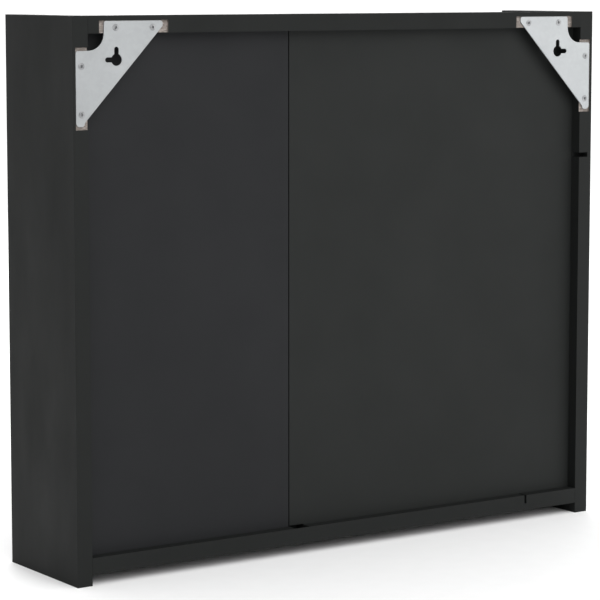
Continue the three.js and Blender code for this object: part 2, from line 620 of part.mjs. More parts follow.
for (const [name, z] of Object.entries(HINGE_HEIGHTS)) {
  add(`hinge_cup_${name}`, hingeCup(z), 'nickel');
  add(`hinge_arm_${name}`, hingeArm(z), 'nickel');
  add(`hinge_plate_${name}`, hingePlate(z), 'nickel');
  add(`hinge_link_${name}`, hingeLink(z), 'nickel');

  add(`hinge_arm_pin_${name}`, rod('z', PIVOT_PIN, [z - ARM.half, z + ARM.half],
    [hingeX(ARM_PIVOT.a), hingeY(ARM_PIVOT.b)]), 'screw');
  const chord = Math.sqrt(CUP.inner ** 2 - (CUP_CENTRE - CUP_PIN.a) ** 2) - CUP_PIN_RADIUS - FIT_GAP;
  add(`hinge_cup_pin_${name}`, rod('z', CUP_PIN_RADIUS, [z - chord, z + chord],
    [hingeX(CUP_PIN.a), hingeY(CUP_PIN.b)]), 'screw');
}

export default cabinet;
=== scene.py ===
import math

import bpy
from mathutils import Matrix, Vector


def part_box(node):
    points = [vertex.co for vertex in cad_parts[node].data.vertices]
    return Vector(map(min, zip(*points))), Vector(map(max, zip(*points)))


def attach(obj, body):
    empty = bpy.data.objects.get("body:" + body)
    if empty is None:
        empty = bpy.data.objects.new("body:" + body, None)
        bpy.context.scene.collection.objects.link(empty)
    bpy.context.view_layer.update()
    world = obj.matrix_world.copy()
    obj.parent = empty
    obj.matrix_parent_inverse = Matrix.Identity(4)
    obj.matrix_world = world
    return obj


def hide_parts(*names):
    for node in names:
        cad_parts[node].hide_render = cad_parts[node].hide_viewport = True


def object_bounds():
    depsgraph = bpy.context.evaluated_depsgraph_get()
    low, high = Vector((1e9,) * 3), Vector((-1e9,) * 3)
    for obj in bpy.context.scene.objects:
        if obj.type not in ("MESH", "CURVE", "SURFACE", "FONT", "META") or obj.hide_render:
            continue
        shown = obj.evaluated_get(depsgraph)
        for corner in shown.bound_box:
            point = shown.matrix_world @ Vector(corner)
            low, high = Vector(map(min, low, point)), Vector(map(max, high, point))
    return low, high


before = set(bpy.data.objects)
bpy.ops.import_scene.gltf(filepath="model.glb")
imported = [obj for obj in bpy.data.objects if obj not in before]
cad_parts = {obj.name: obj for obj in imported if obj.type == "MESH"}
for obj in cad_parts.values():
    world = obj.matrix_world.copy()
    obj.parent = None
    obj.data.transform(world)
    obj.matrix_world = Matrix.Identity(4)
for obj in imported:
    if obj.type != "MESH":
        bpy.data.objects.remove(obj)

# A wall-hung medicine cabinet: matt black boards, a mirror door, steel hanging brackets and hinges.
# The frame is in metres, +Z up, the front faces -Y, and "left" is -X. The boards, the mirror and
# each hinge's arm, plate and link keep their frame shape and get a finish. Screws, cams, brackets,
# shelf pins, hinge cups, hinge pins, the catch and the bumpers are made here in full detail, each
# in the place of its node. Screws without a node are added.

cad_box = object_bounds()

MM = 0.001
FINE = 0.05 * MM  # how far past a face a test box reaches, so that it takes the face in

# ---------------------------------------------------------------------------------------------
# Camera and studio
# ---------------------------------------------------------------------------------------------

CAMERA_AZIMUTH = math.radians(145.63)
CAMERA_YAW = math.radians(0.19)
CAMERA_PITCH = math.radians(6.36)
CAMERA_DISTANCE = 2.87
CAMERA_HEIGHT = 0.634
CAMERA_LENS = 151.6
CAMERA_SHIFT = -0.06

SKY_STRENGTH = 0.66
SUN_SOFTNESS = 50
STUDIO_AIM = (0, 0, 0.3)
FLOOR_COLOUR = (0.96, 0.96, 0.96)
FLOOR_SIZE = 240.0


def link(obj):
    bpy.context.scene.collection.objects.link(obj)
    return obj


def add_camera():
    data = bpy.data.cameras.new("camera")
    data.lens = CAMERA_LENS
    data.shift_y = CAMERA_SHIFT
    camera = link(bpy.data.objects.new("camera", data))
    camera.location = (
        math.sin(CAMERA_AZIMUTH) * CAMERA_DISTANCE,
        -math.cos(CAMERA_AZIMUTH) * CAMERA_DISTANCE,
        CAMERA_HEIGHT,
    )
    camera.rotation_euler = (math.pi / 2 - CAMERA_PITCH, 0, CAMERA_AZIMUTH + CAMERA_YAW)
    bpy.context.scene.camera = camera


def add_softbox(name, place, size, power):
    """A rectangular lamp that points at the middle of the cabinet. Metres and watts."""
    data = bpy.data.lights.new(name, "AREA")
    data.shape = "RECTANGLE"
    data.size, data.size_y = size
    data.energy = power
    lamp = link(bpy.data.objects.new(name, data))
    lamp.location = place
    towards = Vector(STUDIO_AIM) - Vector(place)
    lamp.rotation_euler = towards.to_track_quat("-Z", "Y").to_euler()


def add_sun(name, bearing, elevation, strength):
    """A wide soft sun, its bearing in degrees from behind the cabinet towards +X."""
    data = bpy.data.lights.new(name, "SUN")
    data.energy = strength
    data.angle = math.radians(SUN_SOFTNESS)
    lamp = link(bpy.data.objects.new(name, data))
    lamp.rotation_euler = (math.radians(elevation - 90), 0, -math.radians(bearing))


def add_studio():
    world = bpy.data.worlds.new("studio")
    world.use_nodes = True
    sky = world.node_tree.nodes["Background"]
    sky.inputs["Color"].default_value = (1, 1, 1, 1)
    sky.inputs["Strength"].default_value = SKY_STRENGTH
    bpy.context.scene.world = world
    bpy.context.scene.view_settings.view_transform = "Standard"
    add_sun("rear_sun", bearing=0, elevation=36, strength=1.75)
    add_sun("front_sun", bearing=204, elevation=30, strength=1.5)
    add_softbox("softbox_top", place=(0.0, 0.0, 3.6), size=(3.4, 3.4), power=34)
    add_softbox("softbox_side", place=(-2.0, 1.9, 0.9), size=(1.2, 1.6), power=9)
    add_softbox("softbox_front", place=(-0.8, -3.4, 1.8), size=(1.8, 2.2), power=30)


def add_floor():
    half = FLOOR_SIZE / 2
    corners = [(-half, -half, 0), (half, -half, 0), (half, half, 0), (-half, half, 0)]
    mesh = bpy.data.meshes.new("floor")
    mesh.from_pydata(corners, [], [(0, 1, 2, 3)])
    floor = link(bpy.data.objects.new("floor", mesh))
    look = Surface("floor_paint", FLOOR_COLOUR, 0.9, **{"Specular IOR Level": 0.1})
    grain = look.noise(look.place(), scale=40, detail=3)
    look.colour_between(grain, shade(FLOOR_COLOUR, 0.985), FLOOR_COLOUR)
    mesh.materials.append(look.material)


# ---------------------------------------------------------------------------------------------
# Materials. A noise's or cell pattern's scale is in features per metre.
# ---------------------------------------------------------------------------------------------

NOISE_LOW, NOISE_HIGH = 0.3, 0.7  # most of a noise texture's values lie between these


def shade(colour, factor):
    return [c * factor for c in colour]


class Surface:
    """A material being built: its shader, and short calls for the nodes that feed it."""

    def __init__(self, name, colour, roughness, metallic=0.0, **sockets):
        self.material = bpy.data.materials.new(name)
        self.material.use_nodes = True
        self.tree = self.material.node_tree
        self.shader = self.tree.nodes["Principled BSDF"]
        self.set("Base Color", (*colour, 1))
        self.set("Roughness", roughness)
        self.set("Metallic", metallic)
        for socket, value in sockets.items():
            self.set(socket, value)

    def set(self, socket, value):
        self.join(value, self.shader.inputs[socket])

    def join(self, value, socket):
        if isinstance(value, bpy.types.NodeSocket):
            self.tree.links.new(value, socket)
        else:
            socket.default_value = value

    def node(self, kind, inputs, **settings):
        made = self.tree.nodes.new("ShaderNode" + kind)
        for name, value in settings.items():
            setattr(made, name, value)
        for socket, value in inputs.items():
            self.join(value, made.inputs[socket])
        return made

    def place(self, stretch=(1, 1, 1)):
        """The point on the object, in metres, with each axis scaled by stretch."""
        point = self.tree.nodes.new("ShaderNodeTexCoord").outputs["Object"]
        if stretch == (1, 1, 1):
            return point
        return self.node("Mapping", {"Vector": point, "Scale": stretch}).outputs[0]

    def noise(self, vector, scale, detail=2.0, roughness=0.5):
        return self.node("TexNoise", {"Vector": vector, "Scale": scale, "Detail": detail,
                                      "Roughness": roughness}).outputs[0]

    def cells(self, vector, scale):
        """A cell pattern: the distance from a cell's middle, and a random number for each cell."""
        made = self.node("TexVoronoi", {"Vector": vector, "Scale": scale})
        number = self.node("SeparateColor", {0: made.outputs["Color"]}).outputs[0]
        return made.outputs["Distance"], number

    def maths(self, operation, a, b=0.0, c=0.0):
        return self.node("Math", {0: a, 1: b, 2: c}, operation=operation).outputs[0]

    def plus(self, a, b):
        return self.maths("ADD", a, b)

    def minus(self, a, b):
        return self.maths("SUBTRACT", a, b)

    def times(self, a, b):
        return self.maths("MULTIPLY", a, b)

    def vector_maths(self, operation, a, b):
        return self.node("VectorMath", {0: a, 1: b}, operation=operation).outputs[0]

    def spread(self, fac, low, high, from_low=NOISE_LOW, from_high=NOISE_HIGH):
        """fac stretched from its usual range to low..high."""
        return self.node("MapRange", {"Value": fac, "From Min": from_low, "From Max": from_high,
                                      "To Min": low, "To Max": high}).outputs[0]

    def mix(self, fac, a, b):
        """Colour a where fac is 0, and colour b where it is 1."""
        a, b = [(*c, 1) if isinstance(c, (tuple, list)) else c for c in (a, b)]
        return self.node("Mix", {0: fac, 6: a, 7: b}, data_type="RGBA").outputs[2]

    def colour_between(self, fac, a, b):
        self.set("Base Color", self.mix(self.spread(fac, 0, 1), a, b))

    def roughness_between(self, fac, low, high):
        self.set("Roughness", self.spread(fac, low, high))

    def bump(self, height, distance, strength):
        inputs = {"Height": height, "Distance": distance, "Strength": strength}
        self.set("Normal", self.node("Bump", inputs).outputs[0])

    def inside(self, point, low, high):
        """1 where point is between two corners, else 0."""
        above = self.vector_maths("SUBTRACT", point, tuple(low))
        below = self.vector_maths("SUBTRACT", tuple(high), point)
        nearest = self.node("SeparateXYZ", {0: self.vector_maths("MINIMUM", above, below)})
        least = self.maths("MINIMUM", nearest.outputs[0], nearest.outputs[1])
        return self.maths("GREATER_THAN", self.maths("MINIMUM", least, nearest.outputs[2]), 0.0)

    def edge_distance(self, point, low, high, axes):
        """Distance from the nearest face of a box, over some of its axes."""
        parts = self.node("SeparateXYZ", {0: point})
        distances = []
        for axis in axes:
            middle, half = (low[axis] + high[axis]) / 2, (high[axis] - low[axis]) / 2
            offset = self.maths("ABSOLUTE", self.minus(parts.outputs[axis], middle))
            distances.append(self.minus(half, offset))
        nearest = distances[0]
        for other in distances[1:]:
            nearest = self.maths("MINIMUM", nearest, other)
        return nearest


BLACK = (0.0112, 0.0121, 0.0117)
BLACK_LIGHT = (0.0134, 0.0144, 0.0139)
EDGE_BAND = 0.8 * MM  # thickness of the band glued on a board's edges
EDGE_JOINT = 0.14 * MM  # half the width of the glue line beside it
GLUE_LINE = (0.006, 0.006, 0.006)
PANEL_COLOURS = {
    "back_panel_wide": (0.0132, 0.0144, 0.0138),
    "back_panel_narrow": (0.0130, 0.0136, 0.0147),
}
CHIP_PALE = (0.295, 0.262, 0.242)
CHIP_DARK = (0.135, 0.117, 0.104)


def chipboard(look, point):
    """The colour of pressed flakes a millimetre or two across, and the pattern of their edges."""
    stretched = look.vector_maths("MULTIPLY", point, (0.45, 1.0, 1.0))
    edge, tone = look.cells(stretched, scale=700)
    flakes = look.mix(tone, CHIP_DARK, CHIP_PALE)
    gaps = look.spread(edge, 0, 0.55, from_low=0.35, from_high=0.75)
    dust = look.spread(look.noise(point, scale=2600, detail=3), 0, 0.4)
    return look.mix(gaps, look.mix(dust, flakes, CHIP_PALE), CHIP_DARK), edge


def edge_banding(look, point, box, flat_axis):
    """1 on the band glued around a board's edges, and 1 on the glue line beside it."""
    edge_axes = [axis for axis in range(3) if axis != flat_axis]
    distance = look.edge_distance(point, *box, edge_axes)
    band = look.maths("LESS_THAN", distance, EDGE_BAND)
    joint = look.maths("COMPARE", distance, EDGE_BAND, EDGE_JOINT)
    return band, joint


def laminate(name, box, flat_axis, raw_boxes):
    """Black melamine on chipboard: fine pearl, banded edges, bare wood in milled pockets."""
    look = Surface("laminate_" + name, BLACK, 0.62, **{"Specular IOR Level": 0.09})
    point = look.place()
    cloud = look.noise(point, scale=5, detail=4, roughness=0.6)
    pearl = look.noise(point, scale=1500, detail=2, roughness=0.6)
    speck = look.noise(point, scale=420, detail=2)
    handled = look.noise(look.place((1, 1, 0.35)), scale=18, detail=5, roughness=0.65)
    tone = look.plus(look.times(cloud, 0.7), look.times(speck, 0.3))
    colour = look.mix(look.spread(tone, 0, 1), BLACK, BLACK_LIGHT)
    roughness = look.spread(handled, 0.54, 0.68)

    band, joint = edge_banding(look, point, box, flat_axis)
    colour = look.mix(look.times(joint, 0.5), colour, GLUE_LINE)
    roughness = look.minus(roughness, look.times(band, 0.07))
    height = look.minus(pearl, look.times(joint, 0.8))
    for low, high in raw_boxes:
        raw = look.inside(point, low, high)
        wood, flake_edge = chipboard(look, point)
        colour = look.mix(raw, colour, wood)
        roughness = look.maths("MAXIMUM", roughness, look.times(raw, 0.92))
        height = look.plus(height, look.times(raw, look.times(flake_edge, 2.5)))
    look.set("Base Color", colour)
    look.set("Roughness", roughness)
    look.bump(height, 0.035 * MM, strength=0.55)
    return look.material


def painted_hardboard(name, colour):
    """The thin back panels: smooth black paint over pressed fibres."""
    look = Surface("hardboard_" + name, colour, 0.7, **{"Specular IOR Level": 0.15})
    point = look.place()
    cloud = look.noise(point, scale=3.5, detail=4, roughness=0.6)
    fibre = look.noise(look.place((1, 1, 0.4)), scale=900, detail=3, roughness=0.7)
    roll = look.noise(look.place((1, 1, 0.12)), scale=130, detail=2)
    look.colour_between(cloud, shade(colour, 0.93), shade(colour, 1.07))
    look.roughness_between(look.noise(point, scale=14, detail=4), 0.62, 0.76)
    look.bump(look.plus(fibre, look.times(roll, 0.6)), 0.03 * MM, strength=0.5)
    return look.material


def bracket_steel():
    """Zinc-plated sheet: satin, faintly crystalline, with fine rolling lines."""
    look = Surface("bracket_steel", (0.50, 0.51, 0.515), 0.42, 0.9)
    point = look.place()
    _, crystal = look.cells(point, scale=260)
    cloud = look.noise(point, scale=22, detail=4, roughness=0.6)
    rolled = look.noise(look.place((1, 1, 0.06)), scale=1400, detail=2)
    fine = look.noise(point, scale=500, detail=3)
    tone = look.plus(look.times(crystal, 0.25), look.times(cloud, 0.75))
    look.colour_between(tone, (0.355, 0.367, 0.374), (0.380, 0.393, 0.400))
    look.roughness_between(cloud, 0.36, 0.5)
    look.bump(look.plus(rolled, look.times(fine, 0.7)), 0.02 * MM, strength=0.4)
    return look.material


def plated(name, dark, light, roughness, metallic, scale):
    """Nickel, zinc or screw plating: thin cloudy tarnish, fine scratches."""
    look = Surface(name, light, roughness[0], metallic)
    point = look.place()
    cloud = look.noise(point, scale, detail=4, roughness=0.6)
    scratch = look.noise(look.place((1, 1, 0.08)), scale=3200, detail=2)
    look.colour_between(cloud, dark, light)
    look.roughness_between(look.noise(point, scale * 2, detail=3), *roughness)
    look.bump(look.plus(scratch, look.times(cloud, 0.6)), 0.006 * MM, strength=0.2)
    return look.material


def cast_zinc():
    look = Surface("cast_zinc", (0.42, 0.43, 0.435), 0.5, 0.95)
    point = look.place()
    cloud = look.noise(point, scale=350, detail=4)
    look.colour_between(cloud, (0.33, 0.34, 0.345), (0.5, 0.51, 0.515))
    look.roughness_between(look.noise(point, scale=900, detail=2), 0.42, 0.62)
    sand = look.noise(point, scale=1800, detail=3, roughness=0.65)
    look.bump(sand, 0.05 * MM, strength=0.5)
    return look.material


def moulded_plastic():
    look = Surface("moulded_plastic", (0.018, 0.018, 0.019), 0.5, **{"Specular IOR Level": 0.4})
    point = look.place()
    cloud = look.noise(point, scale=60, detail=3)
    look.colour_between(cloud, (0.015, 0.015, 0.016), (0.023, 0.023, 0.024))
    look.roughness_between(look.noise(point, scale=300, detail=3), 0.42, 0.58)
    pit, _ = look.cells(point, scale=2400)
    look.bump(pit, 0.03 * MM, strength=0.5)
    return look.material


def sintered_magnet():
    look = Surface("sintered_magnet", (0.11, 0.11, 0.115), 0.55, 0.4)
    point = look.place()
    grain = look.noise(point, scale=1200, detail=4, roughness=0.7)
    look.colour_between(grain, (0.07, 0.07, 0.075), (0.16, 0.16, 0.165))
    look.roughness_between(look.noise(point, scale=800, detail=3), 0.45, 0.7)
    pores = look.noise(point, scale=2600, detail=3, roughness=0.7)
    look.bump(pores, 0.04 * MM, strength=0.6)
    return look.material


def clear_silicone():
    look = Surface("clear_silicone", (0.78, 0.80, 0.80), 0.3,
                   **{"Transmission Weight": 0.35, "IOR": 1.41, "Subsurface Weight": 0.2,
                      "Subsurface Scale": 0.002})
    point = look.place()
    cloud = look.noise(point, scale=300, detail=3)
    look.colour_between(cloud, (0.70, 0.72, 0.72), (0.84, 0.86, 0.86))
    look.roughness_between(look.noise(point, scale=500, detail=3), 0.22, 0.4)
    look.bump(look.noise(point, scale=900, detail=2), 0.02 * MM, strength=0.4)
    return look.material


SILVER = (0.74, 0.762, 0.757)
GLASS_EDGE = (0.16, 0.34, 0.29)
BACKING_PAINT = (0.12, 0.125, 0.13)
GROUND_WIDTH = 1.1 * MM  # the ground border around the mirror's face
GROUND_ROUGHNESS = 0.16
FACE_ROUGHNESS = 0.012


def silvered_glass(box):
    """The mirror's silver front, its green ground edge, and the grey paint on its back."""
    low, high = box
    look = Surface("silvered_glass", SILVER, 0.02, 1.0,
                   **{"Coat Weight": 0.6, "Coat Roughness": 0.01})
    point = look.place()
    face = look.inside(point, (low.x + GROUND_WIDTH, low.y - FINE, low.z + GROUND_WIDTH),
                       (high.x - GROUND_WIDTH, low.y + FINE, high.z - GROUND_WIDTH))
    back = look.inside(point, (low.x - FINE, high.y - FINE, low.z - FINE),
                       (high.x + FINE, high.y + FINE, high.z + FINE))
    haze = look.spread(look.noise(point, scale=9, detail=4, roughness=0.6), 0, 1)
    silver = look.mix(haze, SILVER, shade(SILVER, 0.975))
    grit = look.noise(point, scale=700, detail=3)
    ground = look.mix(grit, GLASS_EDGE, shade(GLASS_EDGE, 0.7))
    look.set("Base Color", look.mix(back, look.mix(face, ground, silver), BACKING_PAINT))
    smudge = look.spread(look.noise(point, scale=28, detail=5, roughness=0.7), 0, 0.02,
                         from_low=0.55, from_high=0.9)
    polish = look.spread(face, GROUND_ROUGHNESS, FACE_ROUGHNESS, from_low=0, from_high=1)
    look.set("Roughness", look.plus(polish, smudge))
    look.set("Metallic", face)
    return look.material


# ---------------------------------------------------------------------------------------------
# Mesh tools
# ---------------------------------------------------------------------------------------------

ROUND_STEPS = 40
SMOOTH_ANGLE = math.radians(24)
SOFTEN_ANGLE = math.radians(35)


def arc(centre, radius, start, end, steps=10):
    """Points on an arc, angles in degrees."""
    points = []
    for step in range(steps + 1):
        angle = math.radians(start + (end - start) * step / steps)
        points.append((centre[0] + radius * math.cos(angle), centre[1] + radius * math.sin(angle)))
    return points


def circle(centre, radius, steps=ROUND_STEPS):
    return arc(centre, radius, 0, 360 * (steps - 1) / steps, steps - 1)


def rounded(corners, steps=6):
    """A closed outline from (x, y, corner radius) points, each corner a true arc."""
    outline = []
    for index, (x, y, radius) in enumerate(corners):
        if radius == 0:
            outline.append((x, y))
            continue
        here = Vector((x, y))
        to_last = (Vector(corners[index - 1][:2]) - here).normalized()
        to_next = (Vector(corners[(index + 1) % len(corners)][:2]) - here).normalized()
        half = to_last.angle(to_next) / 2
        centre = here + (to_last + to_next).normalized() * (radius / math.sin(half))
        first = (here + to_last * (radius / math.tan(half)) - centre).normalized()
        last = (here + to_next * (radius / math.tan(half)) - centre).normalized()
        for step in range(steps + 1):
            spoke = first.slerp(last, step / steps)
            outline.append(tuple(centre + spoke * radius))
    return outline


def signed_area(loop):
    return sum(a[0] * b[1] - b[0] * a[1] for a, b in zip(loop, loop[1:] + loop[:1])) / 2


def plate_mesh(name, loops, thickness, edge):
    """A flat plate with holes. Its first loop is the outline. It stands on z = 0, edges rounded."""
    curve = bpy.data.curves.new(name, "CURVE")
    curve.dimensions = "2D"
    curve.fill_mode = "BOTH"
    curve.extrude = (thickness / 2 - edge) / MM
    curve.bevel_depth = edge / MM
    curve.bevel_resolution = 2
    curve.offset = -edge / MM
    for index, loop in enumerate(loops):
        if (signed_area(loop) > 0) == (index > 0):
            loop = loop[::-1]
        spline = curve.splines.new("POLY")
        spline.points.add(len(loop) - 1)
        for point, (x, y) in zip(spline.points, loop):
            point.co = (x / MM, y / MM, 0, 1)
        spline.use_cyclic_u = True
    holder = link(bpy.data.objects.new(name, curve))
    bpy.context.view_layer.update()
    solid = holder.evaluated_get(bpy.context.evaluated_depsgraph_get())
    mesh = bpy.data.meshes.new_from_object(solid)
    bpy.data.objects.remove(holder)
    mesh.transform(Matrix.Translation((0, 0, thickness / 2)) @ Matrix.Scale(MM, 4))
    return mesh


def lathe_mesh(name, profile, steps=ROUND_STEPS):
    """A solid turned about Z from (radius, height) points that start and end on the axis."""
    verts, rings = [], []
    for radius, height in profile:
        if radius == 0:
            rings.append([len(verts)] * steps)
            verts.append((0, 0, height))
            continue
        rings.append(list(range(len(verts), len(verts) + steps)))
        for step in range(steps):
            angle = 2 * math.pi * step / steps
            verts.append((radius * math.cos(angle), radius * math.sin(angle), height))
    faces = []
    for lower, upper in zip(rings, rings[1:]):
        for step in range(steps):
            after = (step + 1) % steps
            face = [lower[step], lower[after], upper[after], upper[step]]
            faces.append(list(dict.fromkeys(face)))  # a corner on the axis counts once
    mesh = bpy.data.meshes.new(name)
    mesh.from_pydata(verts, [], faces)
    return mesh


def box_mesh(name, low, high):
    xs, ys, zs = zip(low, high)
    verts = [(x, y, z) for x in xs for y in ys for z in zs]
    faces = [(0, 1, 3, 2), (4, 6, 7, 5), (0, 4, 5, 1), (2, 3, 7, 6), (0, 2, 6, 4), (1, 5, 7, 3)]
    mesh = bpy.data.meshes.new(name)
    mesh.from_pydata(verts, [], faces)
    return mesh


def wedge_mesh(name, half_length, half_width, top, bottom):
    """A tapered blade along X, wide at the top and ending in a short edge at the bottom."""
    verts = []
    for height, length_share, width_share in ((bottom, 0.45, 0.78), (top, 1.0, 1.0)):
        x, y = half_length * length_share, half_width * width_share
        verts += [(-x, -y, height), (x, -y, height), (x, y, height), (-x, y, height)]
    faces = [(3, 2, 1, 0), (4, 5, 6, 7), (0, 1, 5, 4), (1, 2, 6, 5), (2, 3, 7, 6), (3, 0, 4, 7)]
    mesh = bpy.data.meshes.new(name)
    mesh.from_pydata(verts, [], faces)
    return mesh


def with_modifiers(mesh, add_modifiers):
    """The mesh after modifiers that add_modifiers puts on a holder object."""
    holder = link(bpy.data.objects.new("holder", mesh))
    tools = add_modifiers(holder) or []
    bpy.context.view_layer.update()
    solid = holder.evaluated_get(bpy.context.evaluated_depsgraph_get())
    made = bpy.data.meshes.new_from_object(solid)
    for obj in [holder, *tools]:
        bpy.data.objects.remove(obj)
    return made


def carve(mesh, cutters):
    """The mesh with each cutter taken away from it."""

    def cuts(holder):
        tools = []
        for cutter in cutters:
            tool = link(bpy.data.objects.new("cutter", cutter))
            cut = holder.modifiers.new("cut", "BOOLEAN")
            cut.operation = "DIFFERENCE"
            cut.solver = "EXACT"
            cut.object = tool
            tools.append(tool)
        return tools

    return with_modifiers(mesh, cuts)


def soften(mesh, width, segments=2):
    """The mesh with its sharp edges rounded."""

    def bevel(holder):
        made = holder.modifiers.new("bevel", "BEVEL")
        made.width = width
        made.segments = segments
        made.limit_method = "ANGLE"
        made.angle_limit = SOFTEN_ANGLE

    return with_modifiers(mesh, bevel)


def smooth(mesh):
    """Smooth shading except over sharp edges."""
    mesh.shade_smooth()
    mesh.set_sharp_from_angle(angle=SMOOTH_ANGLE)
    return mesh


# Ways to stand a mesh whose own axis is +Z.
TOWARDS = {
    "+x": Matrix.Rotation(math.pi / 2, 4, "Y"),
    "-x": Matrix.Rotation(-math.pi / 2, 4, "Y"),
    "+y": Matrix.Rotation(-math.pi / 2, 4, "X"),
    "+z": Matrix.Identity(4),
    "-z": Matrix.Rotation(math.pi, 4, "X"),
}


def piece(name, mesh, matrix, look, body, nodes=()):
    """A piece of the object: a mesh put in place, its finish, its body, and its CAD nodes."""
    mesh = mesh.copy()
    mesh.transform(matrix)
    mesh.name = name
    mesh.materials.clear()
    mesh.materials.append(look)
    obj = link(bpy.data.objects.new(name, mesh))
    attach(obj, body)
    if nodes:
        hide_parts(*nodes)


def middle(node):
    low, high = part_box(node)
    return (low + high) / 2


def turned(way, place, roll=0.0):
    """Stands a mesh at a place, its axis turned one way and rolled by some degrees."""
    return Matrix.Translation(place) @ TOWARDS[way] @ Matrix.Rotation(math.radians(roll), 4, "Z")


def flat_on_y(y):
    """Stands a plate drawn in x and -z upright, facing +Y, with its underside at y."""
    return Matrix.Translation((0, y, 0)) @ TOWARDS["+y"]


# ---------------------------------------------------------------------------------------------
# Boards, back panels and mirror: frame shapes with rounded edges
# ---------------------------------------------------------------------------------------------

BOARD_FLAT_AXIS = {
    "side_panel_left": 0, "side_panel_right": 0, "divider_panel": 0,
    "bottom_board": 2, "top_board": 2, "shelf_narrow_lower": 2, "shelf_narrow_upper": 2,
    "shelf_wide_lower": 2, "shelf_wide_upper": 2, "rear_rail": 1, "door_panel": 1,
}
BOARD_EDGE = 0.45 * MM  # how wide the edges of each kind of part are rounded
PANEL_EDGE = 0.3 * MM
MIRROR_EDGE = 1.0 * MM
HINGE_EDGE = 0.22 * MM
POCKET_DEPTH = 2 * MM
POCKET_SKIN = 0.35 * MM  # the laminate left at a pocket's rim
SIDE_POCKET = {"low": 482.0 * MM, "high": 567.2 * MM}
RAIL_POCKET = {"near": 31.4 * MM, "far": 115 * MM, "top": 594.9 * MM}


def round_edges(node, width):
    """Rounds a frame node's edges with modifiers only; its own mesh stays as it is."""
    weld = node.modifiers.new("weld", "WELD")
    weld.merge_threshold = 0.01 * MM
    flatten = node.modifiers.new("flatten", "DECIMATE")
    flatten.decimate_type = "DISSOLVE"
    flatten.angle_limit = math.radians(0.5)
    bevel = node.modifiers.new("bevel", "BEVEL")
    bevel.width = width
    bevel.segments = 2
    bevel.limit_method = "ANGLE"
    bevel.angle_limit = math.radians(40)


def set_material(node, look):
    node.data.materials.clear()
    node.data.materials.append(look)


def pocket_boxes(name):
    """Where the milled bracket pockets bare the wood of a board."""
    low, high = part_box(name)
    outer_low, outer_high = cad_box
    back = (high.y - POCKET_DEPTH - FINE, high.y - POCKET_SKIN)
    if name.startswith("side_panel"):
        return [(Vector((low.x + POCKET_SKIN, back[0], SIDE_POCKET["low"] - FINE)),
                 Vector((high.x - POCKET_SKIN, back[1], SIDE_POCKET["high"] + FINE)))]
    if name == "rear_rail":
        spans = [(outer_low.x + RAIL_POCKET["near"], outer_low.x + RAIL_POCKET["far"]),
                 (outer_high.x - RAIL_POCKET["far"], outer_high.x - RAIL_POCKET["near"])]
        return [(Vector((x0 - FINE, back[0], low.z + POCKET_SKIN)),
                 Vector((x1 + FINE, back[1], RAIL_POCKET["top"] + FINE))) for x0, x1 in spans]
    return []


def finish_node(name, edge, look):
    round_edges(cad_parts[name], edge)
    set_material(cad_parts[name], look)


def finish_boards():
    for name, flat_axis in BOARD_FLAT_AXIS.items():
        look = laminate(name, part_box(name), flat_axis, pocket_boxes(name))
        finish_node(name, BOARD_EDGE, look)
    for name, colour in PANEL_COLOURS.items():
        finish_node(name, PANEL_EDGE, painted_hardboard(name, colour))
    finish_node("mirror", MIRROR_EDGE, silvered_glass(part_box("mirror")))


# ---------------------------------------------------------------------------------------------
# Screws
# ---------------------------------------------------------------------------------------------

THREAD_PITCH = 1.6 * MM
THREAD_DEPTH = 0.35 * MM
RECESS_DEPTH = 1.5 * MM  # from the crown of the head
RECESS_WIDTH = 0.27  # of its length
OVERCUT = 0.3 * MM  # how far a cutter stands proud of what it cuts
# Metres: the head's radius and rise, the shank's radius and length, half the recess's length.
BRACKET_SCREW = {"head": 3.7 * MM, "rise": 0.5 * MM, "shank": 1.8 * MM, "length": 10 * MM,
                 "recess": 2.0 * MM}
HINGE_SCREW = {"head": 3.3 * MM, "rise": 0.9 * MM, "shank": 1.75 * MM, "length": 9 * MM,
               "recess": 1.9 * MM}
ADJUSTER = {"head": 3.2 * MM, "rise": 1.2 * MM, "shank": 1.6 * MM, "length": 4 * MM,
            "recess": 2.0 * MM}
CATCH_SCREW = {"head": 2.9 * MM, "rise": 1.3 * MM, "shank": 1.5 * MM, "length": 8 * MM,
               "recess": 1.7 * MM}
STRIKE_SCREW = {"head": 2.3 * MM, "rise": 0.8 * MM, "shank": 1.2 * MM, "length": 8 * MM,
                "recess": 1.4 * MM}


def dome(radius, rise, steps=5):
    """A low crown from the rim to the middle, as (radius, height) points."""
    angles = [math.pi / 2 * step / steps for step in range(1, steps)]
    return [(radius * math.cos(a), rise * math.sin(a)) for a in angles] + [(0, rise)]


def thread(radius, length):
    """Sharp ridges on a shank, from its tip up to the head."""
    points = [(0, -length), (radius * 0.25, -length * 0.97)]
    for turn in range(int(length * 0.8 / THREAD_PITCH)):
        height = -length * 0.9 + turn * THREAD_PITCH
        points += [(radius - THREAD_DEPTH, height), (radius, height + THREAD_PITCH / 2)]
    return points + [(radius - THREAD_DEPTH, -length * 0.08), (radius, 0)]


def cross_blades(half_length, half_width, top, bottom):
    """Two crossed cutters for a cross recess."""
    blades = [wedge_mesh("blade", half_length, half_width, top, bottom) for _ in range(2)]
    blades[1].transform(Matrix.Rotation(math.pi / 2, 4, "Z"))
    return blades


def screw_mesh(name, head, rise, shank, length, recess):
    """A chipboard screw with a cross recess, its head standing on z = 0."""
    rim = [(head, 0), (head, rise * 0.25), (head - 0.1 * MM, rise * 0.45)]
    profile = thread(shank, length) + rim + dome(head * 0.93, rise)[1:]
    blades = cross_blades(recess, recess * RECESS_WIDTH, rise + OVERCUT, rise - RECESS_DEPTH)
    return smooth(carve(lathe_mesh(name, profile), blades))


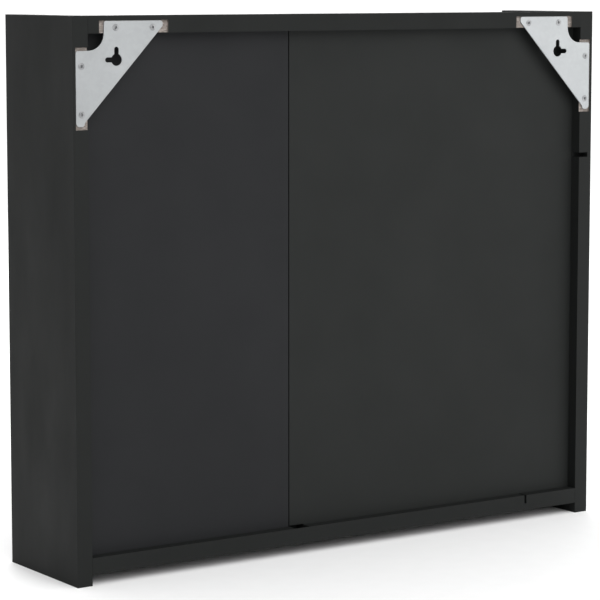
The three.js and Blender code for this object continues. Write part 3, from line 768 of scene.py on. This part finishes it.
def add_bracket_screws(look):
    mesh = screw_mesh("bracket_screw", **BRACKET_SCREW)
    names = [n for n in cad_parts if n.startswith("bracket_screw")]
    for turn, name in enumerate(sorted(names)):
        place = middle(name)
        place.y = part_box(name)[1].y - BRACKET_SCREW["rise"]
        piece(name + "_detail", mesh, turned("+y", place, 17 + 37 * turn), look,
              "carcass", [name])


# ---------------------------------------------------------------------------------------------
# Hanging brackets
# ---------------------------------------------------------------------------------------------

BRACKET_THICKNESS = 1.5 * MM
BRACKET_EDGE = 0.35 * MM
# The bracket seen from outside, in millimetres: inset from the cabinet's side, and height. Each
# corner has its radius too. The scallop lies between the first corner and the others.
BRACKET_START = (3.6, 563.6, 2.6)
SCALLOP = {"inset": 19.6, "height": 581.5, "radius": 17.6}
BRACKET_CORNERS = [(37.6, 594.5, 2.6), (108.5, 594.5, 2.9), (108.5, 588.6, 1.8),
                   (14.4, 489.6, 1.6), (12.8, 485.2, 2.4), (3.6, 485.2, 4.2)]
BRACKET_SCREW_PLACES = [(51.4, 587.4), (96.2, 587.4), (10.3, 547.8), (10.3, 497.8)]
BRACKET_HOLE = 2.1
KEYHOLE = {"inset": 52.3, "height": 554.0, "radius": 6.3, "slot": 2.6, "reach": 10.9}


def bracket_outline():
    scallop = arc((SCALLOP["inset"], SCALLOP["height"]), SCALLOP["radius"], -90, 0, 16)
    return rounded([BRACKET_START, *[(x, y, 0) for x, y in scallop], *BRACKET_CORNERS])


def keyhole_outline():
    """A round hole with a slot upwards and a slot towards the side, as one outline."""
    x, y, radius = KEYHOLE["inset"], KEYHOLE["height"], KEYHOLE["radius"]
    slot, reach = KEYHOLE["slot"], KEYHOLE["reach"]
    spread = math.degrees(math.asin(slot / radius))
    return (arc((x, y), radius, 180 + spread, 450 - spread, 32)
            + arc((x, y + reach), slot, 0, 180, 12)
            + arc((x, y), radius, 90 + spread, 180 - spread, 8)
            + arc((x - reach, y), slot, 90, 270, 12))


def add_brackets(look):
    holes = [circle(place, BRACKET_HOLE) for place in BRACKET_SCREW_PLACES]
    loops = [bracket_outline(), keyhole_outline(), *holes]
    outer_low, outer_high = cad_box
    for name, side, edge in (("left", -1, outer_low.x), ("right", 1, outer_high.x)):
        placed = [[(edge - side * x * MM, -z * MM) for x, z in loop] for loop in loops]
        mesh = smooth(plate_mesh("bracket", placed, BRACKET_THICKNESS, BRACKET_EDGE))
        node = "hanging_bracket_" + name
        matrix = flat_on_y(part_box(node)[0].y)
        piece(node + "_detail", mesh, matrix, look, "carcass", [node])


# ---------------------------------------------------------------------------------------------
# Cam locks and shelf pins
# ---------------------------------------------------------------------------------------------

CAM_RADIUS = 7.4 * MM
CAM_DEPTH = 12.5 * MM
CAM_GROOVE = {"outer": 1.4 * MM, "inner": 2.0 * MM, "depth": 0.4 * MM, "slope": 0.3 * MM}
CAM_RECESS = {"half_length": 3.1 * MM, "half_width": 0.75 * MM, "depth": 2.6 * MM}
CAM_ARROW = {"start": 3.5 * MM, "end": 4.9 * MM, "half_width": 0.35 * MM, "depth": 0.5 * MM}
PIN_RADIUS = 2.5 * MM
PIN_BEAD = 0.9 * MM
PIN_CHAMFER = 0.5 * MM
TONGUE_LENGTH = 11 * MM
TONGUE_GAP = 0.3 * MM  # between the board's face and the tongue
TONGUE_THICKNESS = 1.9 * MM
TONGUE_EDGE = 0.4 * MM


def cam_mesh():
    """A cam lock whose face is at z = 0: a bevelled disc, a sunk ring and a cross recess."""
    outer, inner = CAM_RADIUS - CAM_GROOVE["outer"], CAM_RADIUS - CAM_GROOVE["inner"]
    slope, floor = CAM_GROOVE["slope"], -CAM_GROOVE["depth"]
    profile = [(0, -CAM_DEPTH), (CAM_RADIUS - 0.4 * MM, -CAM_DEPTH),
               (CAM_RADIUS, -CAM_DEPTH + 0.4 * MM), (CAM_RADIUS, -0.35 * MM),
               (CAM_RADIUS - 0.35 * MM, 0), (outer + slope, 0), (outer, floor), (inner, floor),
               (inner - slope, 0), (0, 0)]
    cutters = cross_blades(CAM_RECESS["half_length"], CAM_RECESS["half_width"], OVERCUT,
                           -CAM_RECESS["depth"])
    half = CAM_ARROW["half_width"]
    arrow = box_mesh("arrow", (CAM_ARROW["start"], -half, -CAM_ARROW["depth"]),
                     (CAM_ARROW["end"], half, OVERCUT))
    return smooth(carve(lathe_mesh("cam", profile), [*cutters, arrow]))


def add_cam_locks(look):
    mesh = cam_mesh()
    for row, way in (("top", "+z"), ("bottom", "-z")):
        for number in range(1, 5):
            name = f"cam_lock_{row}_{number}"
            low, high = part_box(name)
            place = middle(name)
            place.z = high.z if way == "+z" else low.z
            roll = 180 if place.x < 0 else 0
            piece(name + "_detail", mesh, turned(way, place, roll), look, "carcass", [name])


def pin_shank(reach):
    """A spoon pin's shank, its end in the board at z = 0, with a bead where the board ends."""
    bead = reach - TONGUE_LENGTH
    ring = PIN_RADIUS + PIN_BEAD
    profile = [(0, 0), (PIN_RADIUS - PIN_CHAMFER, 0), (PIN_RADIUS, PIN_CHAMFER),
               (PIN_RADIUS, bead), (ring, bead + 0.2 * MM), (ring, bead + 1.0 * MM),
               (PIN_RADIUS, bead + 1.2 * MM), (PIN_RADIUS, reach - 0.6 * MM),
               (PIN_RADIUS - 0.6 * MM, reach), (0, reach)]
    return smooth(lathe_mesh("shank", profile))


def pin_tongue(half, face, inwards):
    """A spoon pin's flat tongue, which starts just off the board's face."""
    start, end = face + inwards * TONGUE_GAP, face + inwards * TONGUE_LENGTH
    outline = rounded([(start, -half, 0.6 * MM), (end, -half, 2.4 * MM),
                       (end, half, 2.4 * MM), (start, half, 0.6 * MM)])
    return smooth(plate_mesh("tongue", [outline], TONGUE_THICKNESS, TONGUE_EDGE))


def joined(name, parts):
    """One mesh from (mesh, matrix) pairs."""
    verts, faces = [], []
    for mesh, matrix in parts:
        start = len(verts)
        verts += [tuple(matrix @ v.co) for v in mesh.vertices]
        faces += [[start + i for i in p.vertices] for p in mesh.polygons]
    made = bpy.data.meshes.new(name)
    made.from_pydata(verts, [], faces)
    return smooth(made)


def add_shelf_pins(look):
    """Pins 1 and 2 of each shelf are in the left side panel, pins 3 and 4 in the divider."""
    left_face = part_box("side_panel_left")[1].x
    right_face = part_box("divider_panel")[0].x
    for row in ("lower", "upper"):
        for number in range(1, 5):
            name = f"shelf_pin_{row}_{number}"
            low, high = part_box(name)
            y, half = (low.y + high.y) / 2, (high.y - low.y) / 2
            if number <= 2:
                way, start, tongue = "+x", low.x, pin_tongue(half, left_face, 1)
            else:
                way, start, tongue = "-x", high.x, pin_tongue(half, right_face, -1)
            shank = pin_shank(high.x - low.x)
            mesh = joined(name, [
                (shank, turned(way, (start, y, low.z + PIN_RADIUS))),
                (tongue, Matrix.Translation((0, y, high.z - TONGUE_THICKNESS)))])
            piece(name + "_detail", mesh, Matrix.Identity(4), look, "carcass", [name])


# ---------------------------------------------------------------------------------------------
# Hinges
# ---------------------------------------------------------------------------------------------

CUP_RADIUS = 17.2 * MM
CUP_RIM = 18.2 * MM
CUP_WALL = 0.6 * MM
CUP_STEPS = 56
RIM_RISE = 0.1 * MM  # how far the cup's rim stands over its wings
CUP_SCREW = {"across": 6 * MM, "rise": 24 * MM}
WING = {"half": 8 * MM, "rise": 30 * MM, "corner": 6 * MM, "hole": 2.1 * MM, "edge": 0.25 * MM}
SEAT_RADIUS = CUP_RADIUS + 0.3 * MM  # where a wing meets the cup, under its rim
PLATE_THICKNESS = 2.5 * MM
PLATE_SCREW = {"inset": 37 * MM, "rise": 16 * MM}
ADJUSTER_INSETS = {"side": 20 * MM, "depth": 38 * MM}
HINGE_PIN_CHAMFER = 0.25 * MM
ENDS = (("lower", -1), ("upper", 1))


def cup_mesh(depth, rim_height):
    """A drawn cup with a rolled rim, its rim's underside at z = 0 and its floor below."""
    floor = -depth
    inner = CUP_RADIUS - CUP_WALL
    outside = [(0, floor), (CUP_RADIUS - 2 * MM, floor), (CUP_RADIUS - 0.5 * MM, floor + 0.5 * MM),
               (CUP_RADIUS, floor + 2 * MM), (CUP_RADIUS, 0)]
    rim = [(CUP_RIM - 0.3 * MM, 0), (CUP_RIM, rim_height * 0.4),
           (CUP_RIM - 0.3 * MM, rim_height), (CUP_RADIUS, rim_height)]
    inside = [(inner, rim_height - 0.3 * MM), (inner, floor + 2.2 * MM),
              (CUP_RADIUS - 1.4 * MM, floor + 1.1 * MM), (CUP_RADIUS - 2.6 * MM, floor + 0.8 * MM)]
    raised_middle = [(7.0 * MM, floor + 0.8 * MM), (6.6 * MM, floor + 1.2 * MM),
                     (0, floor + 1.2 * MM)]
    profile = outside + rim + inside + raised_middle
    return smooth(lathe_mesh("cup", profile, CUP_STEPS))


def cup_wing(centre, way):
    """The flange above or below the cup: from the rim out to a rounded end, with a screw hole."""
    x = centre[0] + CUP_SCREW["across"]
    left, right, end = x - WING["half"], x + WING["half"], centre[1] + way * WING["rise"]
    first = math.degrees(math.acos((left - centre[0]) / SEAT_RADIUS))
    last = math.degrees(math.acos((right - centre[0]) / SEAT_RADIUS))
    seat = arc(centre, SEAT_RADIUS, way * first, way * last, 10)
    tip = rounded([(right, centre[1], 0), (right, end, WING["corner"]),
                   (left, end, WING["corner"]), (left, centre[1], 0)])[1:-1]
    hole = circle((x, centre[1] + way * CUP_SCREW["rise"]), WING["hole"])
    return [seat + tip, hole]


def add_hinge_cup(name, looks, screw):
    node = "hinge_cup_" + name
    low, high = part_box(node)
    x, z = low.x + CUP_RIM, (low.z + high.z) / 2
    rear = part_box("door_panel")[1].y
    wing = high.y - rear
    parts = [(cup_mesh(rear - low.y, wing + RIM_RISE), turned("+y", (x, rear, z)))]
    for end, way in ENDS:
        loops = [[(across, -up) for across, up in loop] for loop in cup_wing((x, z), way)]
        parts.append((plate_mesh("wing", loops, wing, WING["edge"]), flat_on_y(rear)))
        place = (x + CUP_SCREW["across"], high.y, z + way * CUP_SCREW["rise"])
        piece(f"hinge_cup_screw_{name}_{end}", screw, turned("+y", place, 25 + 40 * way),
              looks["screw"], "door")
    piece(node + "_detail", joined("cup", parts), Matrix.Identity(4), looks["nickel"],
          "door", [node])


def add_hinge_screws(name, look, screw, adjuster):
    """The plate's two screws, and the two screws that adjust the arm."""
    z = middle("hinge_cup_" + name).z
    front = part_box("side_panel_left")[0].y
    plate_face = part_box("hinge_plate_" + name)[0].x + PLATE_THICKNESS
    for end, way in ENDS:
        place = (plate_face, front + PLATE_SCREW["inset"], z + way * PLATE_SCREW["rise"])
        piece(f"hinge_plate_screw_{name}_{end}", screw, turned("+x", place, 10 + 55 * way), look,
              "carcass")
    arm_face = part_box("hinge_arm_" + name)[1].x
    for use, inset in ADJUSTER_INSETS.items():
        place = (arm_face, front + inset, z)
        piece(f"hinge_adjuster_{name}_{use}", adjuster, turned("+x", place, 30 + inset / MM), look,
              "carcass")


def add_hinge_pin(node, body, look):
    low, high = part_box(node)
    radius, length = (high.y - low.y) / 2, high.z - low.z
    profile = [(0, 0), (radius * 0.7, 0), (radius, HINGE_PIN_CHAMFER),
               (radius, length - HINGE_PIN_CHAMFER), (radius * 0.7, length), (0, length)]
    place = middle(node)
    place.z = low.z
    piece(node + "_detail", smooth(lathe_mesh("pin", profile, 24)), turned("+z", place), look,
          body, [node])


def add_hinges(looks):
    screw = screw_mesh("hinge_screw", **HINGE_SCREW)
    adjuster = screw_mesh("adjuster", **ADJUSTER)
    for name in ("lower", "upper"):
        add_hinge_cup(name, looks, screw)
        add_hinge_screws(name, looks["screw"], screw, adjuster)
        for part in ("hinge_arm_", "hinge_plate_", "hinge_link_"):
            finish_node(part + name, HINGE_EDGE, looks["nickel"])
        add_hinge_pin("hinge_arm_pin_" + name, "carcass", looks["screw"])
        add_hinge_pin("hinge_cup_pin_" + name, "door", looks["screw"])


# ---------------------------------------------------------------------------------------------
# Magnetic catch, strike plate and bumpers
# ---------------------------------------------------------------------------------------------

CATCH_EDGE = 1.2 * MM
MAGNET_GAP = 0.3 * MM
MAGNET_EDGE = 0.5 * MM
CATCH_BORE = {"inset": 11.6 * MM, "rise": 12 * MM, "radius": 3.3 * MM, "length": 12.5 * MM}
CATCH_SCREW_SEAT = 2.5 * MM  # from the divider to the screws' heads
CATCH_GROOVES = {"count": 4, "first": 4 * MM, "step": 2.2 * MM, "width": 1 * MM,
                 "half_height": 6 * MM, "depth": 0.5 * MM}
PAST = 1 * MM  # how far the catch's cutters start outside it
STRIKE_CORNER = 2.6 * MM
STRIKE_HOLE = 2.4 * MM
STRIKE_EDGE = 0.3 * MM
BUMPER_FOOT = 0.3 * MM


def catch_bores(low, z):
    """Cutters for the two screw holes of the catch, from its free side."""
    bores = []
    radius, length = CATCH_BORE["radius"], CATCH_BORE["length"]
    for _, way in ENDS:
        bore = lathe_mesh("bore", [(0, 0), (radius, 0), (radius, length), (0, length)])
        place = (low.x - PAST, low.y + CATCH_BORE["inset"], z + way * CATCH_BORE["rise"])
        bore.transform(turned("+x", place))
        bores.append(bore)
    return bores


def catch_grooves(low, z):
    """Cutters for the grip grooves in the free side of the catch."""
    grooves = []
    half = CATCH_GROOVES["half_height"]
    for number in range(CATCH_GROOVES["count"]):
        y = low.y + CATCH_GROOVES["first"] + number * CATCH_GROOVES["step"]
        grooves.append(box_mesh("groove", (low.x - PAST, y, z - half),
                                (low.x + CATCH_GROOVES["depth"], y + CATCH_GROOVES["width"],
                                 z + half)))
    return grooves


def add_catch(looks):
    low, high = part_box("catch_housing")
    magnet_low, magnet_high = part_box("catch_magnet")
    z = (low.z + high.z) / 2
    gap = Vector((MAGNET_GAP, MAGNET_GAP, MAGNET_GAP))
    cutters = [box_mesh("slot", magnet_low - gap, magnet_high + gap), *catch_bores(low, z),
               *catch_grooves(low, z)]
    blank = soften(box_mesh("housing", low, high), CATCH_EDGE, 3)
    piece("catch_housing_detail", smooth(carve(blank, cutters)), Matrix.Identity(4),
          looks["plastic"], "carcass", ["catch_housing"])
    magnet = smooth(soften(box_mesh("magnet", magnet_low, magnet_high), MAGNET_EDGE))
    piece("catch_magnet_detail", magnet, Matrix.Identity(4), looks["magnet"], "carcass",
          ["catch_magnet"])
    screw = screw_mesh("catch_screw", **CATCH_SCREW)
    for end, way in ENDS:
        place = (high.x - CATCH_SCREW_SEAT, low.y + CATCH_BORE["inset"],
                 z + way * CATCH_BORE["rise"])
        piece("catch_screw_" + end, screw, turned("-x", place, 20 + 12 * way), looks["screw"],
              "carcass")


def add_strike(looks):
    low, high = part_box("strike_plate")
    centre = middle("strike_plate")
    corners = [(low.x, -low.z), (high.x, -low.z), (high.x, -high.z), (low.x, -high.z)]
    loops = [rounded([(*corner, STRIKE_CORNER) for corner in corners]),
             circle((centre.x, -centre.z), STRIKE_HOLE)]
    mesh = smooth(plate_mesh("strike", loops, high.y - low.y, STRIKE_EDGE))
    piece("strike_plate_detail", mesh, flat_on_y(low.y), looks["nickel"], "door",
          ["strike_plate"])
    screw = screw_mesh("strike_screw", **STRIKE_SCREW)
    place = (centre.x, high.y - STRIKE_SCREW["rise"], centre.z)
    piece("strike_screw_detail", screw, turned("+y", place, 33), looks["screw"],
          "door", ["strike_screw"])


def add_bumpers(look):
    for name in ("door_bumper_lower", "door_bumper_upper"):
        low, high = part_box(name)
        radius, rise = (high.x - low.x) / 2, high.y - low.y
        crown = [(r, BUMPER_FOOT + h) for r, h in dome(radius, rise - BUMPER_FOOT, 8)]
        mesh = smooth(lathe_mesh("bumper", [(0, 0), (radius, 0), (radius, BUMPER_FOOT), *crown]))
        place = middle(name)
        place.y = low.y
        piece(name + "_detail", mesh, turned("+y", place), look, "door", [name])


# ---------------------------------------------------------------------------------------------
# The scene
# ---------------------------------------------------------------------------------------------

looks = {
    "screw": plated("screw_plating", dark=(0.19, 0.195, 0.20), light=(0.34, 0.345, 0.35),
                    roughness=(0.3, 0.42), metallic=0.95, scale=240),
    "nickel": plated("nickel_plating", dark=(0.50, 0.495, 0.48), light=(0.62, 0.61, 0.595),
                     roughness=(0.34, 0.46), metallic=0.75, scale=90),
    "zinc": cast_zinc(),
    "bracket": bracket_steel(),
    "plastic": moulded_plastic(),
    "magnet": sintered_magnet(),
    "silicone": clear_silicone(),
}

add_camera()
add_studio()
add_floor()
finish_boards()
add_brackets(looks["bracket"])
add_bracket_screws(looks["screw"])
add_cam_locks(looks["zinc"])
add_shelf_pins(looks["nickel"])
add_hinges(looks)
add_catch(looks)
add_strike(looks)
add_bumpers(looks["silicone"])
